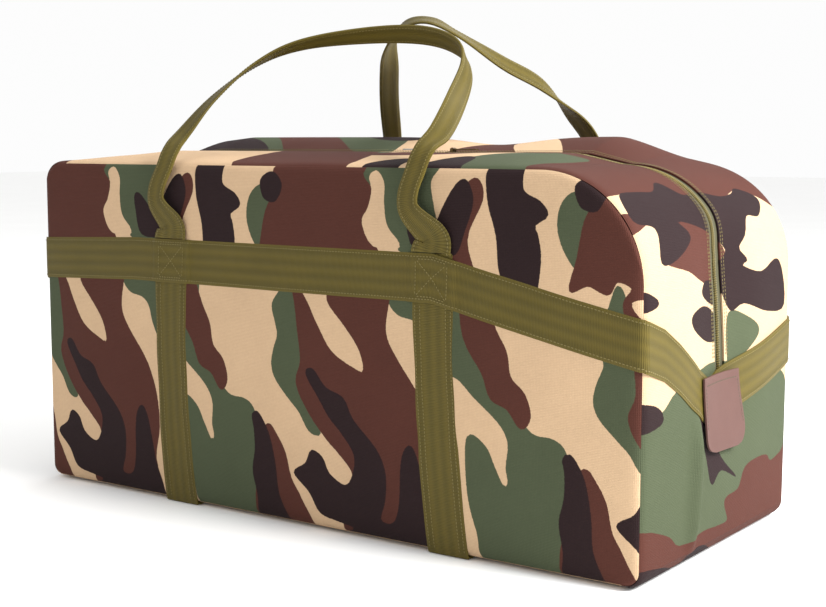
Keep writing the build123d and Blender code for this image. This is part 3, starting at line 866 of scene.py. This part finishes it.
class BAG_OT_top(bpy.types.Operator):
    """Make the two halves of the top and the stitching beside the zip"""
    bl_idname = "bag.top"
    bl_label = "Top halves"
    bl_options = {"REGISTER", "UNDO"}

    def execute(self, context):
        for half, way in HALVES:
            for end, side, edge, full in FOLDS:
                piece = strip_panel(f"gusset_{half}_{end}_cloth", constant(MIDDLE_X), under_belt(side),
                                    way * ZIP_EDGE, way * SEAM_Y, 170, 46)
                replaced = [f"gusset_{half}_{end}"] + ([f"gusset_{half}_middle"] if side < 0 else [])
                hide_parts(*replaced)
                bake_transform(piece)
                last = rim_at_height((APEX_RIGHT if side > 0 else APEX_LEFT) + 0.03, side)
                s = np.linspace(MIDDLE_X, last, 700)
                paths = []
                for inset in (0.0025, 0.0065):
                    points = strip_point(s, np.full_like(s, way * (ZIP_EDGE + inset)), 0.0003)
                    _, _, nx, nz = rim(s)
                    paths.append((points, np.stack([nx, 0 * nx, nz], -1)))
                piece = stitches(f"zip_topstitching_{half}_{end}", paths, body=None)
                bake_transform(piece)
        return {"FINISHED"}


class BAG_OT_zip(bpy.types.Operator):
    """Make the zip's tapes and its two rows of coil"""
    bl_idname = "bag.zip"
    bl_label = "Zip"
    bl_options = {"REGISTER", "UNDO"}

    def execute(self, context):
        for half, way in HALVES:
            for end, side, edge, full in FOLDS:
                limits = (MIDDLE_X, rim_at_height(0.158 if side > 0 else 0.193, side))
                for piece, kind in ((self.tape(half, end, way, limits), "zip_tape"),
                                    (self.coil(half, end, way, limits), "zip_coil")):
                    replaced = [f"{kind}_{half}_{end}"] + ([f"{kind}_{half}_middle"] if side < 0 else [])
                    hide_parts(*replaced)
                    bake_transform(piece)
        return {"FINISHED"}

    def tape(self, half, end, way, limits):
        """One side of the zip's tape, sewn under the cloth edge."""
        piece, u, v = new_grid(f"zip_tape_{half}_{end}_woven", 4, 260)
        y = way * (0.0033 + (0.016 - 0.0033) * u)
        s = limits[0] + (limits[1] - limits[0]) * v
        points = strip_point(s, np.full_like(y, way * ZIP_EDGE), -0.0024)
        points[:, 1] = y
        set_points(piece, points)
        write_uv(piece, y, s)
        face_out(piece, (0, 0, 0.2))
        return finish(piece, [stuff("tape")], 0.0009)

    def coil(self, half, end, way, limits):
        """One row of the coil, a small bent loop for each tooth."""
        pitch = sizes().coil_pitch
        stops = np.arange(min(limits) + pitch, max(limits) - pitch, pitch)
        stops = stops + (0.5 * pitch if way > 0 else 0.0)
        ring = np.linspace(0, 2 * math.pi, 7)[:-1]
        # across the zip and up from the middle of the coil, for one loop
        # the loops stay clear of the post in each slider's nose
        loop = ((0.0028, -0.0004), (0.0024, 0.0008), (0.0013, 0.0009), (0.00098, 0.0001), (0.0013, -0.0008),
                (0.0026, -0.0009))
        radius, vertices, faces = 0.00038, [], []
        for s in stops:
            x, z, nx, nz = (float(value) for value in rim(np.array(s)))
            out = float(strip_swell(np.array(s), np.array(way * ZIP_EDGE))) - 0.0019
            start = len(vertices)
            for across, up in loop:
                for angle in ring[::2]:
                    along = radius * math.cos(angle)
                    thick = radius * math.sin(angle)
                    h = out + up + thick
                    vertices.append((x + nx * h + nz * along, way * across + way * thick * 0.5,
                                     z + nz * h - nx * along))
            for k in range(len(loop) - 1):
                for m in range(3):
                    a, b = start + 3 * k + m, start + 3 * k + (m + 1) % 3
                    faces.append((a, b, b + 3, a + 3))
            last = start + 3 * (len(loop) - 1)
            faces.append((start + 2, start + 1, start))
            faces.append((last, last + 1, last + 2))
        piece = small_parts(f"zip_coil_{half}_{end}_loops", vertices, faces)
        return finish(piece, [stuff("coil")])


# ---- webbing ----
PLAN_R = 0.006                                 # the belt bends round each upright corner in this radius


def plan_ring():
    """Plan of the belt as points, outward directions and distances, from the middle of the back."""
    points, normals = [(0.0, HALF_D)], [(0.0, 1.0)]
    corners = ((-1, 1, 90), (-1, -1, 180), (1, -1, 270), (1, 1, 360))
    for sx, sy, start in corners:
        for step in range(9):
            angle = math.radians(start + step * 90 / 8)
            nx, ny = math.cos(angle), math.sin(angle)
            points.append((sx * (HALF_L - PLAN_R) + PLAN_R * nx, sy * (HALF_D - PLAN_R) + PLAN_R * ny))
            normals.append((nx, ny))
    points.append((0.0, HALF_D))
    normals.append((0.0, 1.0))
    points, normals = np.array(points), np.array(normals)
    far = np.concatenate([[0.0], np.cumsum(np.linalg.norm(np.diff(points, axis=0), axis=1))])
    return points, normals, far


def worn_edge(u):
    """How far webbing is rounded down towards its two edges."""
    return 0.0004 * (np.abs(u - 0.5) * 2) ** 8


def belt_surface(p, offset, lift):
    """A point on the belt: p along it, offset up from its middle line, lift off the cloth."""
    points, normals, far = plan_ring()
    x, y = np.interp(p, far, points[:, 0]), np.interp(p, far, points[:, 1])
    nx, ny = np.interp(p, far, normals[:, 0]), np.interp(p, far, normals[:, 1])
    size = np.hypot(nx, ny)
    nx, ny = nx / size, ny / size
    on_end = np.where(x < 0, belt_end_height(y, -1), belt_end_height(y, 1))
    on_face = np.where(y < 0, belt_height(x, -1), belt_height(x, 1))
    middle = np.where(np.abs(nx) > 0.7, on_end, on_face)
    z = middle + offset
    faces = np.where(y < 0, face_swell(x, z, -1), face_swell(x, z, 1))
    ends = np.where(x < 0, end_swell(y, z, -1), end_swell(y, z, 1))
    near_strap = fade(np.abs(np.abs(x) - STRAP_X), 0.031, 0.0255) * (np.abs(ny) > 0.7)
    out = ny ** 2 * faces + nx ** 2 * ends + lift + near_strap * sizes().webbing * 1.05
    return np.stack([x + nx * out, y + ny * out, z], axis=-1), np.stack([nx, ny, 0 * nx], axis=-1)


class BAG_OT_belt(bpy.types.Operator):
    """Make the webbing belt that runs round the bag and its stitching"""
    bl_idname = "bag.belt"
    bl_label = "Belt"
    bl_options = {"REGISTER", "UNDO"}

    def execute(self, context):
        width = sizes().webbing_width
        length = plan_ring()[2][-1]
        piece, u, v = new_grid("belt_webbing", 14, 900)
        points, _ = belt_surface(v * length, (u - 0.5) * width, 0.0019 - worn_edge(u))
        set_points(piece, points)
        write_uv(piece, u * width, v * length)
        clean(piece, merge=0.00002, outward=False)
        face_out(piece, (0, 0, 0.25))
        finish(piece, [stuff("webbing")], sizes().webbing)
        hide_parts("belt")
        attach(piece, "root")
        p = np.linspace(0, length, 1600)
        paths = [belt_surface(p, np.full_like(p, side * (width / 2 - STITCH_MARGIN)), 0.0022)
                 for side in (-1, 1)]
        box = 0.019                          # half the side of the stitched box where a strap crosses
        corners = ((-box, -box), (box, -box), (box, box), (-box, box))
        share = np.linspace(0, 1, 24)
        front = length / 2
        for centre in (front - STRAP_X, front + STRAP_X, STRAP_X, length - STRAP_X):
            for first, last in ((0, 1), (1, 2), (2, 3), (3, 0), (0, 2), (1, 3)):
                (along, up), (along_to, up_to) = corners[first], corners[last]
                paths.append(belt_surface(centre + along + (along_to - along) * share,
                                          up + (up_to - up) * share, 0.0022))
        stitches("belt_stitching", paths)
        return {"FINISHED"}


def strap_place(side, way, across, z, lift):
    """A point on an upright strap."""
    lean = STRAP_LEAN * (1.0 - np.clip(z / BELT_TOP, 0, 1)) * (1.0 if side > 0 and way < 0 else 0.0)
    x = side * STRAP_X + lean + across
    y = way * (HALF_D + face_swell(x, z, way) + lift)
    return np.stack([x, y, z], axis=-1)


class BAG_OT_straps(bpy.types.Operator):
    """Make the four upright straps and the two runs that the bag stands on"""
    bl_idname = "bag.straps"
    bl_label = "Straps"
    bl_options = {"REGISTER", "UNDO"}

    def execute(self, context):
        width, paths = sizes().webbing_width, []
        for end, side in ENDS:
            for half, way in HALVES:
                piece, u, v = new_grid(f"strap_{half}_{end}_webbing", 14, 110)
                z = 0.0004 + v * (BELT_TOP - 0.0004)
                set_points(piece, strap_place(side, way, (u - 0.5) * width, z, 0.0018 - worn_edge(u)))
                write_uv(piece, u * width, z)
                face_out(piece, (0, 0, 0.2))
                finish(piece, [stuff("webbing")], sizes().webbing)
                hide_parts(f"strap_{half}_{end}")
                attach(piece, "root")
                z = np.linspace(0.004, 0.262, 200)
                for inset in (STITCH_MARGIN, STITCH_MARGIN + 0.0060):
                    for edge_side in (-1, 1):
                        across = np.full_like(z, edge_side * (width / 2 - inset))
                        path = strap_place(side, way, across, z, 0.0021)
                        paths.append((path, np.tile([0.0, way, 0.0], (len(z), 1))))
            piece, u, v = new_grid(f"base_strap_{end}_webbing", 14, 90)
            y = (v - 0.5) * 2 * (HALF_D + 0.0012)
            lean = STRAP_LEAN * (0.5 - v) * 2 * (side > 0) * (v < 0.5)
            z = 0.0016 * (np.abs(v - 0.5) * 2) ** 60
            set_points(piece, np.stack([side * STRAP_X + lean + (u - 0.5) * width, y, z], -1))
            write_uv(piece, u * width, y)
            face_out(piece, (0, 0, 0.2))
            finish(piece, [stuff("webbing")], sizes().webbing)
            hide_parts(f"base_strap_{end}")
            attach(piece, "root")
        stitches("strap_stitching", paths)
        return {"FINISHED"}


# ---- handles ----
def through(values, count):
    """A smooth open curve through rows of values."""
    v = np.vstack([2 * values[0] - values[1], values, 2 * values[-1] - values[-2]])
    place = np.linspace(0, len(values) - 1 - 1e-6, count)
    k = place.astype(int)
    t = (place - k)[:, None]
    a, b, c, d = v[k], v[k + 1], v[k + 2], v[k + 3]
    return 0.5 * (2 * b + (c - a) * t + (2 * a - 5 * b + 4 * c - d) * t ** 2
                  + (3 * b - a - 3 * c + d) * t ** 3)


def handle_line(stations, way, count):
    """Middle line, direction across, direction outward and width of a handle."""
    foot_y = HALF_D + 0.0016 + sizes().grip / 2
    feet = [[(side * STRAP_X, way * foot_y, z, -side, 0, 0, width)
             for z, width in ((HINGE_Z, 0.050), (HINGE_Z + 0.016, 0.040))] for side in (-1, 1)]
    middle = [(fx * STRAP_X, way * (HALF_D * (1 - fy) + (foot_y - HALF_D if fy < 0 else 0)),
               HEIGHT + dz / 1000, *turn, sizes().grip_width) for fx, fy, dz, turn in stations]
    line = through(np.array(feet[0] + middle + feet[1][::-1]), count)
    place, turn, width = line[:, :3], line[:, 3:6], line[:, 6]
    swollen = face_swell(place[:, 0], np.minimum(place[:, 2], HEIGHT), way).clip(0.0)
    place[:, 1] += way * (swollen + 0.0012) * fade(place[:, 2], 0.415, 0.375)
    along = np.gradient(place, axis=0)
    along[0], along[-1] = (0, 0, 1), (0, 0, -1)
    along /= np.linalg.norm(along, axis=1, keepdims=True)
    turn = turn - along * (turn * along).sum(1, keepdims=True)
    turn /= np.linalg.norm(turn, axis=1, keepdims=True)
    return place, turn, np.cross(along, turn), width.clip(0.0245, 0.050)


def foot_thinning(width):
    """Share of the grip's thickness, less where the webbing opens flat at a foot."""
    return np.interp(width, (sizes().grip_width, sizes().webbing_width), (1.0, 0.6))


class BAG_OT_handles(bpy.types.Operator):
    """Make the two webbing handles, folded in the grip, and their stitching"""
    bl_idname = "bag.handles"
    bl_label = "Handles"
    bl_options = {"REGISTER", "UNDO"}

    def execute(self, context):
        count, around = 260, 20
        for half, way, stations in (("front", -1, HANDLE_FRONT), ("back", 1, HANDLE_BACK)):
            place, turn, out, width = handle_line(stations, way, count)
            piece, u, v = new_grid(f"handle_{half}_webbing", around, count - 1)
            k = np.rint(v * (count - 1)).astype(int)
            angle = u * 2 * math.pi
            c, s = np.cos(angle), np.sin(angle)
            across = np.sign(c) * np.abs(c) ** 0.45
            thick = np.sign(s) * np.abs(s) ** 0.45
            fold = 1.0 - 0.22 * np.exp(-(across / 0.25) ** 2)
            narrow = foot_thinning(width[k])
            points = (place[k] + turn[k] * (across * width[k] / 2)[:, None]
                      + out[k] * (thick * fold * narrow * sizes().grip / 2)[:, None])
            set_points(piece, points)
            reach = np.concatenate([[0.0], np.cumsum(np.linalg.norm(np.diff(place, axis=0), axis=1))])
            write_uv(piece, across * width[k] / 2, reach[k])
            clean(piece, merge=0.00001, fill=True)
            finish(piece, [stuff("webbing")])
            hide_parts(f"handle_{half}")
            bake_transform(piece)
            paths = []
            for side in (-1, 1):
                for face in (-1, 1):
                    lift = out * face * (sizes().grip / 2 * foot_thinning(width))[:, None]
                    edge = place + turn * (side * (width / 2 - STITCH_MARGIN))[:, None]
                    paths.append((edge + lift, out * face))
            piece = stitches(f"handle_{half}_stitching", paths, body=None)
            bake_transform(piece)
        return {"FINISHED"}


# ---- small pieces ----
class BAG_OT_end_patches(bpy.types.Operator):
    """Make the hemmed cloth patches over the ends of the zip"""
    bl_idname = "bag.end_patches"
    bl_label = "End patches"
    bl_options = {"REGISTER", "UNDO"}

    def execute(self, context):
        for end, side, apex in (("left", -1, APEX_LEFT), ("right", 1, APEX_RIGHT)):
            top = apex + 0.020
            piece, u, v = new_grid(f"end_patch_{end}_cloth", 36, 34)
            z = top - v * PATCH_H
            corner = (v * PATCH_H - (PATCH_H - PATCH_R)).clip(0.0)
            half = PATCH_W / 2 - (PATCH_R - np.sqrt((PATCH_R ** 2 - corner ** 2).clip(0.0))) * 0.96
            y = (u - 0.5) * 2 * half + PATCH_Y
            set_points(piece, self.place(side, y, z))
            write_uv(piece, y, z)
            face_out(piece, (0, 0, 0.2))
            finish(piece, [stuff("patch")], 0.0022, offset=1.0)
            bevel = piece.modifiers.new("edge", "BEVEL")
            bevel.width, bevel.segments, bevel.limit_method = 0.0006, 2, "ANGLE"
            select_only(piece)
            bpy.ops.object.modifier_apply(modifier=bevel.name)
            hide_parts(f"end_patch_{end}")
            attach(piece, "root")
            y = PATCH_Y + np.linspace(-PATCH_W / 2 + 0.004, PATCH_W / 2 - 0.004, 60)
            line = self.place(side, y, np.full_like(y, top - 0.008))
            line[:, 0] += side * 0.0023
            down = np.linspace(top - 0.008, top - PATCH_H + PATCH_R, 50)
            paths = [(line, np.tile([side, 0.0, 0.0], (len(y), 1)))]
            for edge in (-1, 1):
                path = self.place(side, np.full_like(down, PATCH_Y + edge * (PATCH_W / 2 - 0.004)), down)
                path[:, 0] += side * 0.0023
                paths.append((path, np.tile([side, 0.0, 0.0], (len(down), 1))))
            stitches(f"end_patch_{end}_stitching", paths, material="binding",
                     pitch=0.0035)
        return {"FINISHED"}

    def place(self, side, y, z):
        """A point on the back of the patch, which stands further out towards the rear."""
        base = HALF_L + end_swell(y, z, side) + 0.0032
        tilt = 0.0045 * fade(y - PATCH_Y, -PATCH_W / 2, PATCH_W / 2)
        return np.stack([side * (base + tilt), y + 0 * z, z], -1)


class BAG_OT_bindings(bpy.types.Operator):
    """Make the bound seam allowances inside the bag"""
    bl_idname = "bag.bindings"
    bl_label = "Seam bindings"
    bl_options = {"REGISTER", "UNDO"}

    def execute(self, context):
        for half, way in HALVES:
            for end, side in ENDS:
                start, full = rim_at_height(0.160, side), rim_below(side)
                piece, u, v = new_grid(f"seam_binding_{half}_{end}_tape", 6, 160)
                s = start + (full - start) * v
                depth = 0.0030 + 0.0095 * u
                x, z, nx, nz = rim(s)
                y = way * (HALF_D - 0.0034 - 0.0005 * np.sin(u * math.pi)) + 0 * s
                set_points(piece, np.stack([x - nx * depth, y, z - nz * depth], -1))
                write_uv(piece, depth, s)
                face_out(piece, (0, way * 0.3, 0.2))
                finish(piece, [stuff("binding")], 0.0010)
                if side > 0:
                    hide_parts(f"seam_binding_{half}")
                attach(piece, "root")
        return {"FINISHED"}


class BAG_OT_metal(bpy.types.Operator):
    """Give the sliders, pullers and zip stops their metal"""
    bl_idname = "bag.metal"
    bl_label = "Zip metal"
    bl_options = {"REGISTER", "UNDO"}

    def execute(self, context):
        finishes = {"slider_left": "bronze", "slider_right": "bronze", "puller_left": "nickel",
                    "puller_right": "bronze", "zip_stop_left": "bronze", "zip_stop_right": "bronze"}
        for node, material in finishes.items():
            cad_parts[node].data.materials.clear()
            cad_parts[node].data.materials.append(stuff(material))
        return {"FINISHED"}


class BAG_OT_stage(bpy.types.Operator):
    """Lay the pale floor, the soft studio light and the camera"""
    bl_idname = "bag.stage"
    bl_label = "Stage"
    bl_options = {"REGISTER", "UNDO"}

    def execute(self, context):
        bpy.ops.object.select_all(action="DESELECT")
        bpy.ops.mesh.primitive_plane_add(size=30.0, location=(0, 0, -0.0006))
        floor = bpy.context.object
        floor.name = "floor"
        material, tree, shader, place = begin("matt_painted_floor", 0.9)
        cloudy = add(tree, "ShaderNodeTexNoise", Vector=place.outputs["Object"], Scale=3.0)
        paint = add(tree, "ShaderNodeMix", {"data_type": "RGBA"}, i0=cloudy.outputs["Fac"],
                    i6=colour("f6f6f5"), i7=colour("fafaf9")).outputs[2]
        tree.links.new(paint, shader.inputs["Base Color"])
        floor.data.materials.append(material)
        self.area("key_light", (2.5, 0.25, 1.9), (0.3, 0.0, 0.25), 1.3, 200)
        self.area("front_fill", (-1.2, -3.0, 1.5), (0.0, 0.0, 0.2), 2.4, 4)
        self.area("rear_light", (-0.6, 2.2, 2.4), (0.0, 0.0, 0.3), 1.8, 22)
        world = bpy.data.worlds.new("studio")
        world.use_nodes = True
        world.node_tree.nodes["Background"].inputs["Color"].default_value = (1, 1, 1, 1)
        world.node_tree.nodes["Background"].inputs["Strength"].default_value = 0.98
        bpy.context.scene.world = world
        bpy.context.scene.view_settings.view_transform = "Standard"
        self.camera()
        return {"FINISHED"}

    def area(self, name, place, target, size, power, tint=(1.0, 1.0, 1.0)):
        light = bpy.data.lights.new(name, "AREA")
        light.shape, light.size, light.energy, light.color = "DISK", size, power, tint
        lamp = bpy.data.objects.new(name, light)
        lamp.location = place
        aim = np.array(target) - np.array(place)
        lamp.rotation_euler = Vector(aim).to_track_quat("-Z", "Y").to_euler()
        bpy.context.scene.collection.objects.link(lamp)

    def camera(self):
        turn, tilt = math.radians(35.63), math.radians(6.46)
        view = bpy.data.cameras.new("camera")
        view.sensor_width, view.sensor_fit, view.lens = 36.0, "HORIZONTAL", 62.49
        camera = bpy.data.objects.new("camera", view)
        camera.location = (1.0048, -1.37098, 0.42418)
        back = Vector((math.sin(turn) * math.cos(tilt), -math.cos(turn) * math.cos(tilt), math.sin(tilt)))
        camera.rotation_euler = (-back).to_track_quat("-Z", "Y").to_euler()
        bpy.context.scene.collection.objects.link(camera)
        bpy.context.scene.camera = camera


STEPS = (BAG_OT_front_and_back, BAG_OT_ends_and_base, BAG_OT_top, BAG_OT_zip, BAG_OT_belt, BAG_OT_straps,
         BAG_OT_handles, BAG_OT_end_patches, BAG_OT_bindings, BAG_OT_metal, BAG_OT_stage)


class BAG_PT_panel(bpy.types.Panel):
    """Lists the steps of the bag"""
    bl_idname = "BAG_PT_panel"
    bl_label = "Travel Bag"
    bl_space_type = "VIEW_3D"
    bl_region_type = "UI"
    bl_category = "Travel Bag"

    def draw(self, context):
        for step in STEPS:
            self.layout.operator(step.bl_idname)


CLASSES = (BagSizes, BagColours) + STEPS + (BAG_PT_panel,)


def register():
    for item in CLASSES:
        bpy.utils.register_class(item)
    bpy.types.Scene.bag_sizes = PointerProperty(type=BagSizes)
    bpy.types.Scene.bag_colours = PointerProperty(type=BagColours)


def unregister():
    del bpy.types.Scene.bag_colours
    del bpy.types.Scene.bag_sizes
    for item in reversed(CLASSES):
        bpy.utils.unregister_class(item)


def main():
    register()
    for step in STEPS:
        group, action = step.bl_idname.split(".")
        getattr(getattr(bpy.ops, group), action)()


if __name__ == "__main__":
    main()
